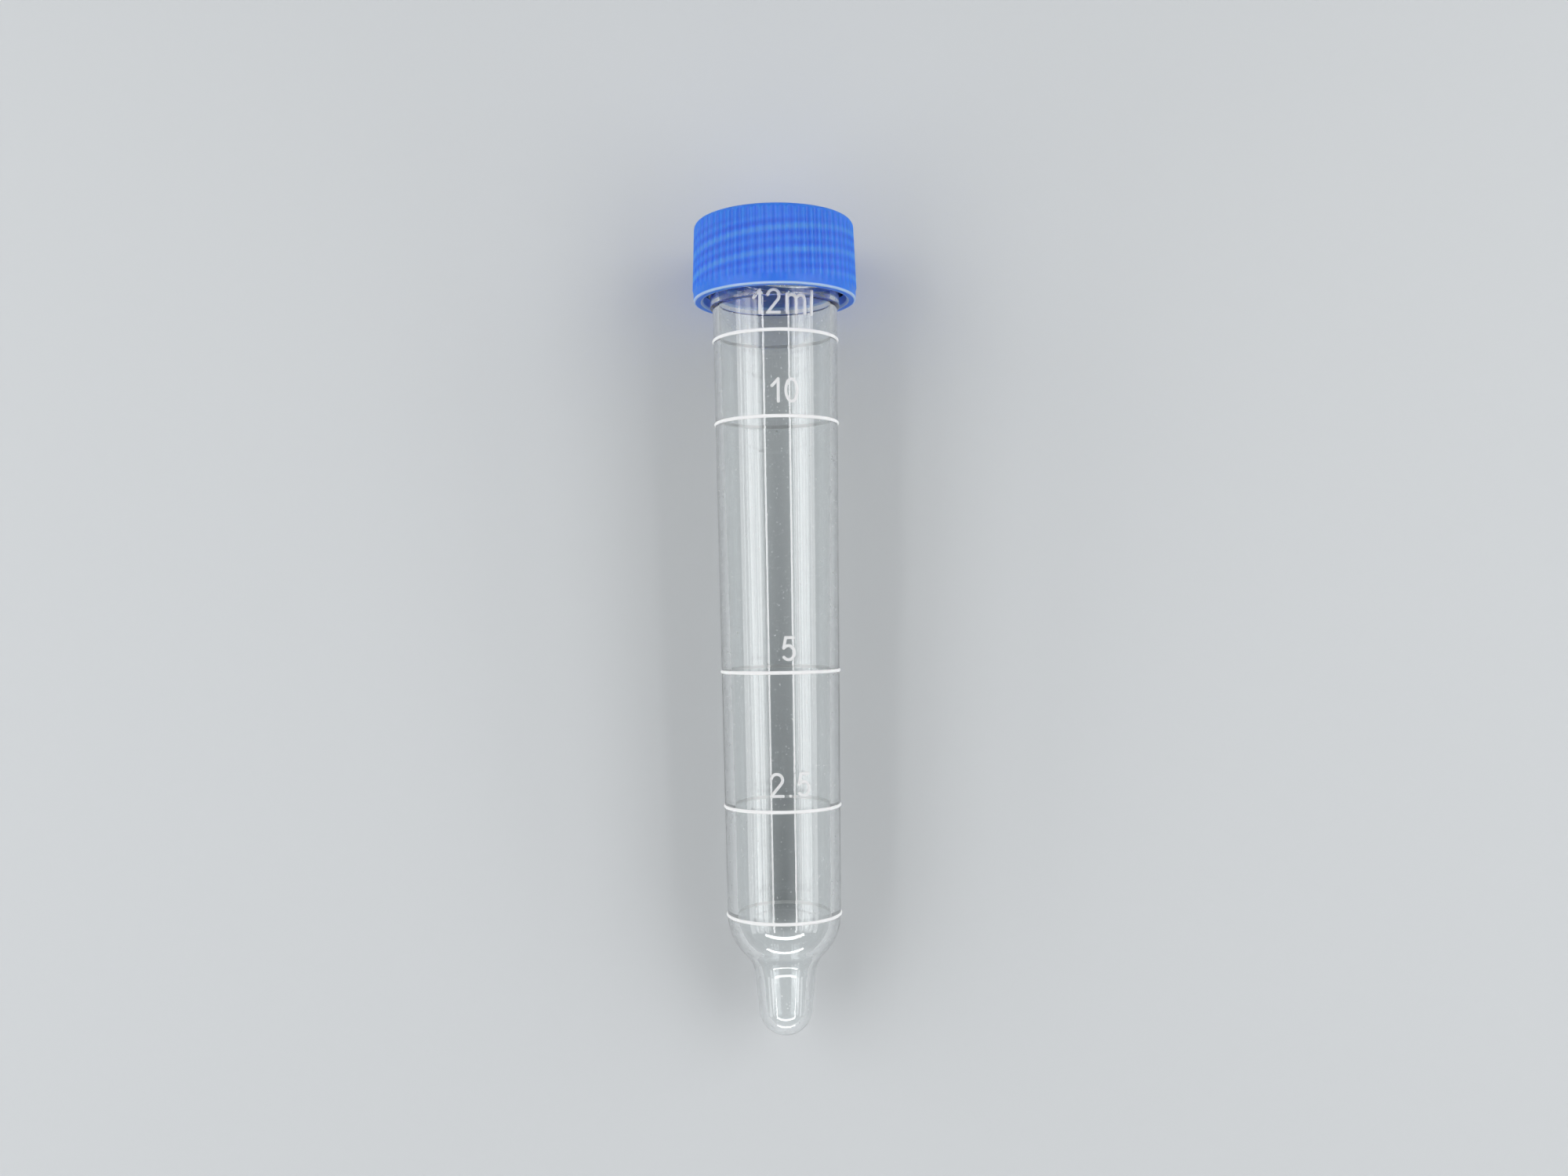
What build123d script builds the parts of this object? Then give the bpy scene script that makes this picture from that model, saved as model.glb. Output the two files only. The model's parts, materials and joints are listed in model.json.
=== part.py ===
from build123d import *

import os
from math import atan2, cos, radians, sin, sqrt, tan

# A 15 ml screw-cap tube for the laboratory, lying on a bench as it comes to rest, closed.
# It is two mouldings. The tube is clear polystyrene: a tapered round body, a round bowl with
# a narrow tip under it, raised marks round the body, and a thicker neck for the cap. The cap
# is polyethylene, with fine upright grooves outside and a plug inside that seals the mouth.
#
# Both are drawn about the tube's own axis, upwards from the end of the tip, in a section whose
# first number is the distance from the axis and whose second is the height above the tip's end.
# The tube then lies with its cap towards +X and its axis in the XZ plane. It touches the bench
# at z = 0 with the mark round its bowl and with two neighbouring ribs of the cap.
# Lengths are in millimetres and drafts are in degrees a side.

# Tip: a drafted side that runs into a round end
tip_end_radius = 3.6
tip_draft = 5.3
tip_wall = 1.1

# Bowl
bowl_height = 16.4  # its centre, above the tip's end
bowl_radius = 7.6
bowl_wall = 1.35
bowl_blend = 4.0  # outside, between tip and bowl
bowl_bore_blend = 5.2  # inside, about the same centre

# Body: the bore has more draft than the outside, so the wall thins upwards
body_draft = 0.54
bore_draft = 0.79

# Marks: a bead round the bowl's edge, then one bead for each graduation, each a step above
# the one before it
mark_steps = {"2.5 ml": 14.5, "5 ml": 18.0, "10 ml": 33.1, "12 ml": 11.1}
mark_relief = 0.18
mark_foot_width = 0.4
mark_crest_width = 0.2
mark_sink = 0.3  # how far its drawn section reaches into the wall

# Neck, from the collar's lower edge up to the mouth
collar_above_mark = 4.3
collar_step = 0.32
collar_bevel = 0.3
neck_length = 10.25
lip_bevel = 0.3

# Cap
skirt_wall = 1.45  # at the rim, over the ribs
cap_draft = 2.1
cap_top_thickness = 1.2
cap_edge_bevel = 0.6
collar_showing = 1.0  # how much of the neck shows below the closed cap
rim_band_height = 1.2
rim_band_step = 0.12  # how far the plain band stands back from the ribs
rim_bevel = 0.2
rim_lead_in = 0.27
plug_length = 2.8
plug_wall = 0.9
plug_lead_in = 0.25

# Grooves in the cap, with the ribs left between them
groove_count = 60
groove_width = 0.9  # between the ribs' crests
groove_floor_width = 0.3
groove_depth = 0.2
groove_reach = 0.1  # how far its cutter stands out from the ribs' crests

# Clearances between cap and tube
seat_clearance = 0.05  # lip to the underside of the cap's top
plug_clearance = 0.06  # plug to bore
thread_room = 0.92  # neck to skirt, where the screw threads run


def body_radius(height):
    """The body's outer radius at a height."""
    return bowl_radius + (height - bowl_height) * tan(radians(body_draft))


def bore_radius(height):
    """The radius of the bore above the bowl at a height."""
    return bowl_radius - bowl_wall + (height - bowl_height) * tan(radians(bore_draft))


def on_ball(ball_radius, ball_height, angle):
    """The point of a ball's outline at an angle, in radians, above its widest level."""
    return ball_radius * cos(angle), ball_height + ball_radius * sin(angle)


def tip_meets_bowl(end_radius, ball_radius):
    """Where the drafted side of a tip with a round end runs into the ball of the bowl."""
    slope = tan(radians(tip_draft))
    side_radius = end_radius / cos(radians(tip_draft)) - tip_end_radius * slope
    a = 1 + slope**2
    b = side_radius * slope - bowl_height
    c = side_radius**2 + bowl_height**2 - ball_radius**2
    height = (-b - sqrt(b**2 - a * c)) / a
    return side_radius + slope * height, height


# Heights up the tube
mark_heights = [bowl_height]
for step in mark_steps.values():
    mark_heights.append(mark_heights[-1] + step)
collar_height = mark_heights[-1] + collar_above_mark
tube_length = collar_height + neck_length
neck_radius = body_radius(collar_height) + collar_step

# Heights and radii of the closed cap
ceiling_height = tube_length + seat_clearance
cap_top_height = ceiling_height + cap_top_thickness
rim_height = collar_height + collar_showing
skirt_bore_radius = neck_radius + thread_room
cap_radius = skirt_bore_radius + skirt_wall
band_top_height = rim_height + rim_band_height
plug_end_height = ceiling_height - plug_length


def rib_radius(height):
    """The radius over the cap's ribs at a height, drafted in from the rim to the top."""
    return cap_radius - (height - rim_height) * tan(radians(cap_draft))


# How the closed tube lies: one groove is at the bottom, so the ribs on its two sides touch,
# at their lower ends, and at the other end the crest of the mark round the bowl
rib_foot_radius = sqrt(rib_radius(band_top_height) ** 2 - (groove_width / 2) ** 2)
bead_crest_radius = bowl_radius + mark_relief
bead_crest_height = bowl_height - mark_crest_width / 2
tilt = atan2(rib_foot_radius - bead_crest_radius, band_top_height - bead_crest_height)
tip_lift = rib_foot_radius * cos(tilt) - band_top_height * sin(tilt)

# The two ends of the lying tube, so that x = 0 is halfway between them
tip_end_x = tip_end_radius * cos(tilt) - tip_end_radius
cap_face_radius = rib_radius(cap_top_height) - cap_edge_bevel
cap_end_x = cap_top_height * cos(tilt) + cap_face_radius * sin(tilt)

along = Vector(cos(tilt), 0, sin(tilt))
upwards = Vector(-sin(tilt), 0, cos(tilt))
tip_end = Vector(-(tip_end_x + cap_end_x) / 2, 0, tip_lift)
lying = Plane(origin=tip_end, x_dir=upwards, z_dir=along)
section = Plane(origin=tip_end, x_dir=upwards, z_dir=upwards.cross(along))
tube_axis = Axis(tip_end, along)


def corner_at(corners, radius, height):
    """The one of a section's corners that lies at a radius and a height."""
    return corners.sort_by_distance(Vector(radius, height))[0]


# Tube
bowl_bore_radius = bowl_radius - bowl_wall
tip_bore_radius = tip_end_radius - tip_wall
outer_meeting = tip_meets_bowl(tip_end_radius, bowl_radius)
inner_meeting = tip_meets_bowl(tip_bore_radius, bowl_bore_radius)

# A mark's two sides slope on into the wall, to where its drawn section ends
mark_slope = (mark_foot_width - mark_crest_width) / mark_relief
mark_root_width = mark_foot_width + mark_sink * mark_slope


def tip_and_bowl(end_radius, ball_radius, meeting):
    """Draw one side of the tip and the bowl, from the tip's end up to the bowl's edge."""
    side_angle = -radians(tip_draft)
    half_end_angle = (side_angle - radians(90)) / 2
    meeting_angle = atan2(meeting[1] - bowl_height, meeting[0])
    ThreePointArc(
        (0, tip_end_radius - end_radius),
        on_ball(end_radius, tip_end_radius, half_end_angle),
        on_ball(end_radius, tip_end_radius, side_angle),
    )
    Line(on_ball(end_radius, tip_end_radius, side_angle), meeting)
    ThreePointArc(
        meeting,
        on_ball(ball_radius, bowl_height, meeting_angle / 2),
        (ball_radius, bowl_height),
    )


with BuildPart(lying) as tube:
    with BuildSketch(section):
        with BuildLine():
            tip_and_bowl(tip_end_radius, bowl_radius, outer_meeting)
            # The body's long side is straight, as a curve of two points, so that it is divided
            # into facets round the body and not along it
            Bezier((bowl_radius, bowl_height), (body_radius(collar_height), collar_height))
            Polyline(
                (body_radius(collar_height), collar_height),
                (neck_radius, collar_height + collar_bevel),
                (neck_radius, tube_length),
                (bore_radius(tube_length), tube_length),
                (bowl_bore_radius, bowl_height),
            )
            tip_and_bowl(tip_bore_radius, bowl_bore_radius, inner_meeting)
            Line((0, tip_wall), (0, 0))
        make_face()
        fillet(corner_at(vertices(), *outer_meeting), bowl_blend)
        fillet(corner_at(vertices(), *inner_meeting), bowl_bore_blend)
        chamfer(corner_at(vertices(), neck_radius, tube_length), lip_bevel)
        chamfer(corner_at(vertices(), bore_radius(tube_length), tube_length), lip_bevel)
        for mark_height in mark_heights:
            with Locations((body_radius(mark_height), mark_height)):
                Polygon(
                    (-mark_sink, -mark_root_width / 2),
                    (mark_relief, -mark_crest_width / 2),
                    (mark_relief, mark_crest_width / 2),
                    (-mark_sink, mark_root_width / 2),
                    align=None,
                )
    revolve(axis=tube_axis)

# One groove's cutter, leaning with the cap's drafted side, about the tube's own axis. Its
# section is a trapezoid that is carried on outwards past the ribs' crests, and it runs out
# through the bevel of the cap's top edge.
groove_foot = Plane(origin=(rib_radius(band_top_height), 0, band_top_height))
groove_lean = Vector(-sin(radians(cap_draft)), 0, cos(radians(cap_draft)))
groove_length = (cap_top_height - band_top_height) / groove_lean.Z
groove_flare = (groove_width - groove_floor_width) / groove_depth
groove_mouth_width = groove_width + groove_reach * groove_flare

with BuildPart() as groove:
    with BuildSketch(groove_foot):
        Polygon(
            (-groove_depth, -groove_floor_width / 2),
            (groove_reach, -groove_mouth_width / 2),
            (groove_reach, groove_mouth_width / 2),
            (-groove_depth, groove_floor_width / 2),
            align=None,
        )
    extrude(amount=groove_length, dir=groove_lean)

# Cap
plug_root_radius = bore_radius(ceiling_height) - plug_clearance
plug_end_radius = bore_radius(plug_end_height) - plug_clearance
plug_inner_radius = plug_end_radius - plug_wall
band_radius = rib_radius(band_top_height) - rim_band_step
cap_edge_height = cap_top_height - cap_edge_bevel

with BuildPart(lying) as cap:
    with BuildSketch(section):
        with BuildLine():
            # The ribs' side and the bevel above it, as curves of two points like the body's
            Bezier(
                (rib_radius(band_top_height), band_top_height),
                (rib_radius(cap_edge_height), cap_edge_height),
            )
            Bezier(
                (rib_radius(cap_edge_height), cap_edge_height),
                (cap_face_radius, cap_top_height),
            )
            Polyline(
                (cap_face_radius, cap_top_height),
                (0, cap_top_height),
                (0, ceiling_height),
                (plug_inner_radius, ceiling_height),
                (plug_inner_radius, plug_end_height),
                (plug_end_radius - plug_lead_in, plug_end_height),
                (plug_end_radius, plug_end_height + plug_lead_in),
                (plug_root_radius, ceiling_height),
                (skirt_bore_radius, ceiling_height),
                (skirt_bore_radius, rim_height + rim_lead_in),
                (skirt_bore_radius + rim_lead_in, rim_height),
                (band_radius, rim_height),
                (band_radius, band_top_height),
                (rib_radius(band_top_height), band_top_height),
            )
        make_face()
        chamfer(corner_at(vertices(), band_radius, rim_height), rim_bevel)
    revolve(axis=tube_axis)
    with PolarLocations(0, groove_count, start_angle=180):
        add(groove.part, mode=Mode.SUBTRACT)

tube.part.label = "tube"
cap.part.label = "cap"

os.makedirs("parts", exist_ok=True)
for piece in (tube, cap):
    export_step(piece.part, f"parts/{piece.part.label}.step")
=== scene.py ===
"""A clear screw-cap laboratory tube with a translucent blue cap, lying closed on a pale bench.

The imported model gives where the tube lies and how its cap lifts. This add-on models the two
mouldings that are seen: the tube with its rings, figures and screw thread, and the cap with its
ribs, plug and thread. Both are made upright, about the Z axis and up from the end of the tip,
and are laid in place once they are whole.
"""

import json
from math import atan2, cos, pi, radians, sin, sqrt, tan

import bmesh
import bpy
from bpy.props import FloatProperty, FloatVectorProperty, IntProperty, PointerProperty
from mathutils import Matrix, Vector


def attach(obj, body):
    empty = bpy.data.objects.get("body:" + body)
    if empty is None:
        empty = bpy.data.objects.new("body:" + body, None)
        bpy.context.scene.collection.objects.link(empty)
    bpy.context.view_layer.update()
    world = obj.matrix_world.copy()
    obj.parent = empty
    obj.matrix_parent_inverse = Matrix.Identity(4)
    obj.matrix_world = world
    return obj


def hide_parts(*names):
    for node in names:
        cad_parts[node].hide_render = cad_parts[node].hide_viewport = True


bl_info = {
    "name": "Screw-cap laboratory tube",
    "version": (1, 0, 0),
    "blender": (4, 5, 0),
    "location": "View3D > Sidebar > Tube",
    "description": "Models a clear moulded tube and its ribbed blue cap around the packed model",
    "category": "Object",
}

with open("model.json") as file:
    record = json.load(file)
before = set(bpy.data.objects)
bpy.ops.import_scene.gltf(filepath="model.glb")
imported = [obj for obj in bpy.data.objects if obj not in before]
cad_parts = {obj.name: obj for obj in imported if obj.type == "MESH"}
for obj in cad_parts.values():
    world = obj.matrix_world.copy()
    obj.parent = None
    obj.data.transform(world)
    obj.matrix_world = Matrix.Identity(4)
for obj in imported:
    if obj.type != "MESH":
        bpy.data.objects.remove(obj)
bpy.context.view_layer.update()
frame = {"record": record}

MM = 0.001


# Sizes and colours


def linear(hex_colour):
    """An sRGB hex colour as linear red, green and blue, by the curve of the sRGB standard."""
    shares = [int(hex_colour[i : i + 2], 16) / 255 for i in (1, 3, 5)]
    return tuple(c / 12.92 if c <= 0.04045 else ((c + 0.055) / 1.055) ** 2.4 for c in shares)


def length(name, description, millimetres):
    """A size that is given in millimetres and kept in metres."""
    return FloatProperty(
        name=name,
        description=description,
        default=millimetres * MM,
        precision=5,
        subtype="DISTANCE",
        unit="LENGTH",
    )


def angle(name, description, turn):
    """An angle that is given in degrees and kept in radians."""
    return FloatProperty(
        name=name,
        description=description,
        default=radians(turn),
        subtype="ANGLE",
        unit="ROTATION",
    )


def colour(name, description, hex_colour):
    """A surface colour."""
    return FloatVectorProperty(
        name=name,
        description=description,
        default=linear(hex_colour),
        subtype="COLOR",
        size=3,
        min=0,
        max=1,
    )


def number(name, description, default):
    """A number with no unit, such as a share, a strength or a number of turns."""
    return FloatProperty(name=name, description=description, default=default, precision=4)


def whole(name, description, default, least):
    """A whole number, and the least that it may be."""
    return IntProperty(name=name, description=description, default=default, min=least)


class TubeSizes(bpy.types.PropertyGroup):
    """Sizes of the clear moulding, as its mould gives them."""

    steps: whole("Steps", "Straight steps round the tube", 256, 48)
    arc_steps: whole("Arc steps", "Straight steps along a large rounding", 10, 3)
    tip_end_radius: length("Tip end radius", "Radius of the tip's round end", 3.6)
    tip_draft: angle("Tip draft", "Lean of the tip's side", 5.3)
    tip_wall: length("Tip wall", "Wall of the tip", 1.1)
    bowl_height: length("Bowl height", "Height of the bowl's centre above the tip's end", 16.4)
    bowl_radius: length("Bowl radius", "Outer radius of the bowl", 7.6)
    bowl_wall: length("Bowl wall", "Wall of the bowl", 1.35)
    bowl_blend: length("Bowl blend", "Rounding outside, between tip and bowl", 4.0)
    bowl_bore_blend: length("Bowl bore blend", "Rounding inside, between tip and bowl", 5.2)
    body_draft: angle("Body draft", "Lean of the body's side", 0.54)
    bore_draft: angle("Bore draft", "Lean of the bore's side", 0.79)
    ring_relief: length("Ring relief", "How far a ring stands out", 0.15)
    ring_width: length("Ring width", "Width of a ring at its foot", 0.45)
    ring_gap: length("Ring gap", "Air behind a frosted ring, which throws light back", 0.01)
    collar_height: length("Collar height", "Height of the neck's lower edge", 97.4)
    collar_step: length("Collar step", "How far the neck stands out from the body", 0.32)
    neck_length: length("Neck length", "Length of the neck", 10.25)
    lip_radius: length("Lip radius", "Rounding of the mouth's edges", 0.3)
    row: length("Row", "Height of a row of faces where figures or ridges join the wall", 0.3)


class CapSizes(bpy.types.PropertyGroup):
    """Sizes of the blue moulding, where it is screwed down on the tube."""

    rib_count: whole("Ribs", "Ribs round the cap", 60, 12)
    rib_steps: whole("Rib steps", "Straight steps across a rib and its groove", 12, 4)
    rim_height: length("Rim height", "Height of the cap's rim above the tip's end", 98.4)
    ceiling_height: length("Ceiling height", "Height of the underside of the cap's top", 107.7)
    top_height: length("Top height", "Height of the cap's top", 108.9)
    rim_radius: length("Rim radius", "Radius over the ribs, at the rim", 11.053)
    draft: angle("Draft", "Lean of the cap's side", 2.1)
    edge_radius: length("Edge radius", "Rounding of the cap's top edge", 0.9)
    band_height: length("Band height", "Height of the plain band above the rim", 1.2)
    band_step: length("Band step", "How far the band stands back from the ribs", 0.12)
    band_slope: length("Band slope", "Height of the slope from the band out to the ribs", 0.4)
    rim_rounding: length("Rim rounding", "Rounding of the rim's outer edge", 0.2)
    # Painted light: the rim's thin edges and the lit inside of the skirt are painted paler
    painted_light_reach: length("Pale edge", "How far the rim's thin edges look paler", 0.12)
    edge_painted_light: number("Edge paleness", "How pale the rim's thin edges are", 0.75)
    inside_painted_light: number("Inside paleness", "How pale the lit inside is", 0.35)
    skirt_bore_radius: length("Skirt bore radius", "Inner radius of the skirt", 9.603)
    lead_in: length("Lead-in", "Slope of the rim's inner edge", 0.27)
    plug_length: length("Plug length", "How far the plug reaches down", 2.8)
    plug_wall: length("Plug wall", "Wall of the plug", 0.9)
    plug_clearance: length("Plug clearance", "Gap from the plug to the bore", 0.06)
    plug_rounding: length("Plug rounding", "Rounding of the plug's edges", 0.25)
    groove_width: length("Groove width", "Width of a groove between two ribs", 0.9)
    groove_floor: length("Groove floor", "Width of a groove's floor", 0.3)
    groove_depth: length("Groove depth", "Depth of a groove", 0.2)


class ThreadSizes(bpy.types.PropertyGroup):
    """Sizes of the two-start screw thread on neck and cap.

    A foot is the centre of a ridge's lower end, and a first turn is the angle from there, round
    the way that the ridge climbs, to the tube's upper side.
    """

    starts: whole("Starts", "Ridges that begin side by side", 2, 1)
    lead: length("Lead", "Rise of a ridge in one turn", 6.0)
    sink: length("Sink", "How far a ridge's root reaches into its wall", 0.15)
    crest_rounding: length("Crest rounding", "Rounding of a ridge's crest", 0.12)
    neck_foot_height: length("Neck thread foot", "Height of the neck ridges' feet", 99.55)
    neck_turn: number("Neck turns", "Turns that a ridge makes round the neck", 1.12)
    neck_first_turn: angle("Neck first turn", "From a neck ridge's foot to the upper side", 90.4)
    neck_crest_radius: length("Neck crest radius", "Radius over the neck's ridges", 9.25)
    neck_root_width: length("Neck root width", "Width of a neck ridge at its root", 1.5)
    neck_crest_width: length("Neck crest width", "Width of a neck ridge at its crest", 0.6)
    cap_foot_height: length("Cap thread foot", "Height of the cap ridges' feet", 100.05)
    cap_turn: number("Cap turns", "Turns that a ridge makes inside the cap", 1.03)
    cap_first_turn: angle("Cap first turn", "From a cap ridge's foot to the upper side", 150.2)
    cap_crest_radius: length("Cap crest radius", "Radius inside the cap's ridges", 8.9)
    cap_root_width: length("Cap root width", "Width of a cap ridge at its root", 1.4)
    cap_crest_width: length("Cap crest width", "Width of a cap ridge at its crest", 0.6)


class FigureSizes(bpy.types.PropertyGroup):
    """Sizes of the raised figures."""

    height: length("Figure height", "Height of a figure", 3.3)
    stroke_radius: length("Stroke radius", "Radius of the cutter that engraved the mould", 0.22)
    relief: length("Figure relief", "How far a figure stands out", 0.16)
    gap: length("Figure gap", "Gap between the middles of neighbouring strokes", 1.0)
    turn: angle("Figure turn", "From the upper side round to the figures' middle", 7.8)


class Finishes(bpy.types.PropertyGroup):
    """Colours of the plastics, the bench and the room."""

    clear: colour("Clear plastic", "Tint of the clear polystyrene", "#FAFCFC")
    frosted: colour("Frosted plastic", "Tint of the frosted rings and figures", "#FFFFFF")
    figure_clearness: number("Figure clearness", "Share of light that passes a figure", 0.35)
    ring_clearness: number("Ring clearness", "Share of light that passes a ring", 0.1)
    cap: colour("Cap", "Colour of the cap's polyethylene", "#1C80FF")
    # Painted shade over a thread ridge's flanks and painted light over its crest, as seen through
    # the wall
    cap_band_painted_shade: colour("Cap bands, dark", "The cap over a thread ridge's flanks", "#0C5CE8")
    cap_band_painted_light: colour("Cap bands, light", "The cap over a thread ridge's crest", "#489CFF")
    # Painted light on the rim's thin edges and on the lit inside
    cap_pale_painted_light: colour("Cap edges", "Colour of the rim's thin edges", "#D0E2FF")
    floor: colour("Floor", "Colour of the bench", "#CBCED0")
    surroundings: colour("Surroundings", "Colour of the room's light", "#F2F4F6")


class StageSizes(bpy.types.PropertyGroup):
    """Where the camera and the lamps stand, and how bright the room is."""

    lens: FloatProperty(name="Lens", description="Focal length", default=32.0, unit="CAMERA")
    shift_x: number("Sideways shift", "Shift of the picture, as a share of its width", 0.0027)
    shift_y: number("Upward shift", "Shift of the picture, as a share of its width", 0.019)
    camera_distance: length("Camera distance", "From the tube's axis to the camera", 187.4)
    camera_height: length("Camera foot", "How far up the tube the camera faces it", 56.0)
    lean: angle("Lean", "Lean of the tube in the picture", 0.915)
    floor_size: length("Floor size", "Side of the bench", 3000)
    lamp_distance: length("Lamp distance", "From the tube to each lamp", 520)
    lamp_length: length("Lamp length", "Length of the lamps beside the tube", 700)
    side_light: number("Side light", "Strength of the room's light from the sides", 0.68)
    top_light: number("Top light", "Strength of the room's light from above", 0.2)


# The tube's figures: what each reads, and how high its centre stands
FIGURES = (("2.5", 34.4 * MM), ("5", 52.0 * MM), ("10", 85.3 * MM), ("12ml", 96.7 * MM))

# The wall is divided into rows of faces this far up and down, about a figure's centre
FIGURE_ROOM = 4 * MM

# The rings: one round the bowl's edge, and one for each graduation
RING_HEIGHTS = [16.4 * MM, 30.9 * MM, 48.9 * MM, 82.0 * MM, 93.1 * MM]

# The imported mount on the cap's flat top, which gives the lying tube's axis and its upper end
CAP_TOP_MOUNT = next(m for m in frame["record"]["mounts"] if m["name"] == "cap_top")

# Two points closer than this are the same
SAME_POINT = MM / 1000

# Joining solids leaves slivers and pinholes of up to this size
SLIVER = MM / 500

# Straight steps along a small rounding: where it hardly shows, and where it does
HIDDEN_STEPS = 3
SHOWN_STEPS = 4


# Modelling tools


def deselect_all():
    """Leave nothing selected, in object mode."""
    if bpy.context.object and bpy.context.object.mode != "OBJECT":
        bpy.ops.object.mode_set(mode="OBJECT")
    bpy.ops.object.select_all(action="DESELECT")


def make_active(piece, others=()):
    """Select one piece, and others to be joined to it."""
    deselect_all()
    for one in (piece, *others):
        one.select_set(True)
    bpy.context.view_layer.objects.active = piece


def select_where(piece, test):
    """In edit mode, select the vertices whose places pass a test."""
    mesh = bmesh.from_edit_mesh(piece.data)
    for vertex in mesh.verts:
        vertex.select = test(vertex.co)
    mesh.select_flush_mode()
    bmesh.update_edit_mesh(piece.data)


def draw_chain(name, points):
    """A new piece that is a chain of points, left in edit mode.

    It begins as a small plane that is merged to its centre, and is extruded from point to point.
    """
    deselect_all()
    bpy.ops.mesh.primitive_plane_add(size=MM, location=(0, 0, 0))
    piece = bpy.context.object
    piece.name = name
    bpy.ops.object.mode_set(mode="EDIT")
    bpy.ops.mesh.select_mode(type="VERT")
    bpy.ops.mesh.merge(type="CENTER")
    bpy.ops.transform.translate(value=points[0])
    for here, there in zip(points, points[1:]):
        step = [after - before for before, after in zip(here, there)]
        bpy.ops.mesh.extrude_region_move(TRANSFORM_OT_translate={"value": step})
    return piece


def draw_section(name, outline):
    """Draw a section, whose points are distances from the axis and heights, in the XZ plane."""
    return draw_chain(name, [Vector((corner[0], 0, corner[1])) for corner in outline])


def tidy_mesh():
    """In edit mode, merge doubles and turn every face outwards."""
    bpy.ops.mesh.select_all(action="SELECT")
    bpy.ops.mesh.remove_doubles(threshold=SAME_POINT)
    bpy.ops.mesh.normals_make_consistent(inside=False)


def spin_all(steps, turn, copies=False):
    """In edit mode, spin all that is drawn about the Z axis, as one surface or as copies."""
    bpy.ops.mesh.select_all(action="SELECT")
    bpy.ops.mesh.spin(steps=steps, angle=turn, center=(0, 0, 0), axis=(0, 0, 1), dupli=copies)


def spun_piece(name, outline, steps):
    """A section spun all the way round, as a closed piece."""
    piece = draw_section(name, outline)
    spin_all(steps, 2 * pi)
    tidy_mesh()
    bpy.ops.object.mode_set(mode="OBJECT")
    return piece


def apply_modifier(piece, kind, **settings):
    """Add a modifier, set it and apply it."""
    make_active(piece)
    modifier = piece.modifiers.new(kind.title(), kind)
    for key, value in settings.items():
        setattr(modifier, key, value)
    bpy.ops.object.modifier_apply(modifier=modifier.name)


def settle_order(piece):
    """List a mesh's points and faces by their places.

    Joining solids lists them by chance, and the next join can then give another result.
    """
    mesh = piece.data
    points = [tuple(vertex.co) for vertex in mesh.vertices]
    order = sorted(range(len(points)), key=points.__getitem__)
    ranks = {point: rank for rank, point in enumerate(order)}
    faces = []
    for face in mesh.polygons:
        corners = [ranks[point] for point in face.vertices]
        first = corners.index(min(corners))
        faces.append((corners[first:] + corners[:first], face.material_index))
    faces.sort()
    mesh.clear_geometry()
    mesh.from_pydata(sorted(points), [], [corners for corners, _ in faces])
    mesh.polygons.foreach_set("material_index", [finish for _, finish in faces])


def join_solid(piece, other, use_self=False):
    """Make two overlapping solids one, and remove the second."""
    apply_modifier(
        piece, "BOOLEAN", operation="UNION", solver="EXACT", object=other, use_self=use_self
    )
    bpy.data.objects.remove(other)
    settle_order(piece)


def clean_mesh(piece):
    """Mend what joining solids leaves: doubles, slivers, pinholes and loose crumbs.

    All of it is too small to see. What stays of the piece is its largest part.
    """
    pinhole_sides = 4
    make_active(piece)
    bpy.ops.object.mode_set(mode="EDIT")
    bpy.ops.mesh.select_all(action="SELECT")
    bpy.ops.mesh.remove_doubles(threshold=SLIVER)
    bpy.ops.mesh.dissolve_degenerate(threshold=SLIVER)
    bpy.ops.mesh.select_all(action="SELECT")
    bpy.ops.mesh.fill_holes(sides=pinhole_sides)
    bpy.ops.mesh.select_all(action="SELECT")
    bpy.ops.mesh.separate(type="LOOSE")
    bpy.ops.object.mode_set(mode="OBJECT")
    name = piece.name
    parts = sorted(bpy.context.selected_objects, key=lambda part: len(part.data.polygons))
    *crumbs, whole = parts
    for crumb in crumbs:
        bpy.data.objects.remove(crumb)
    whole.name = name
    return whole


def tube_place():
    """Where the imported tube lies: its tip's end, and its own upper, side and long axes."""
    along = Vector(CAP_TOP_MOUNT["axis"]).normalized()
    sideways = Vector((0, -1, 0))
    upwards = sideways.cross(along)
    tip_end = Vector(CAP_TOP_MOUNT["pos_m"]) - along * bpy.context.scene.cap_sizes.top_height
    return tip_end, upwards, sideways, along


def placed(place, x_axis, y_axis, z_axis):
    """The matrix that puts an object at a place, with its three axes along three directions."""
    return Matrix.Translation(place) @ Matrix((x_axis, y_axis, z_axis)).transposed().to_4x4()


def lay_in_place(piece):
    """Lay an upright piece along the tube's axis in the frame, with its place in its mesh.

    Each vertex keeps where it stood upright, in millimetres, for the patterns that follow the
    moulding.
    """
    upright = piece.data.attributes.new("upright_mm", "FLOAT_VECTOR", "POINT")
    for vertex, stood in zip(piece.data.vertices, upright.data):
        stood.vector = vertex.co / MM
    make_active(piece)
    piece.matrix_world = placed(*tube_place())
    bpy.ops.object.transform_apply(location=True, rotation=True, scale=True)


# Sections: each point is a distance from the axis and a height


def arc(center, radius, first, last, steps):
    """Points along an arc of a section, with both ends."""
    turns = [first + (last - first) * i / steps for i in range(steps + 1)]
    return [Vector((center[0] + radius * cos(t), center[1] + radius * sin(t))) for t in turns]


def body_radius(sizes, height):
    """The body's outer radius at a height."""
    return sizes.bowl_radius + (height - sizes.bowl_height) * tan(sizes.body_draft)


def bore_radius(sizes, height):
    """The bore's radius at a height above the bowl."""
    rise = height - sizes.bowl_height
    return sizes.bowl_radius - sizes.bowl_wall + rise * tan(sizes.bore_draft)


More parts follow.
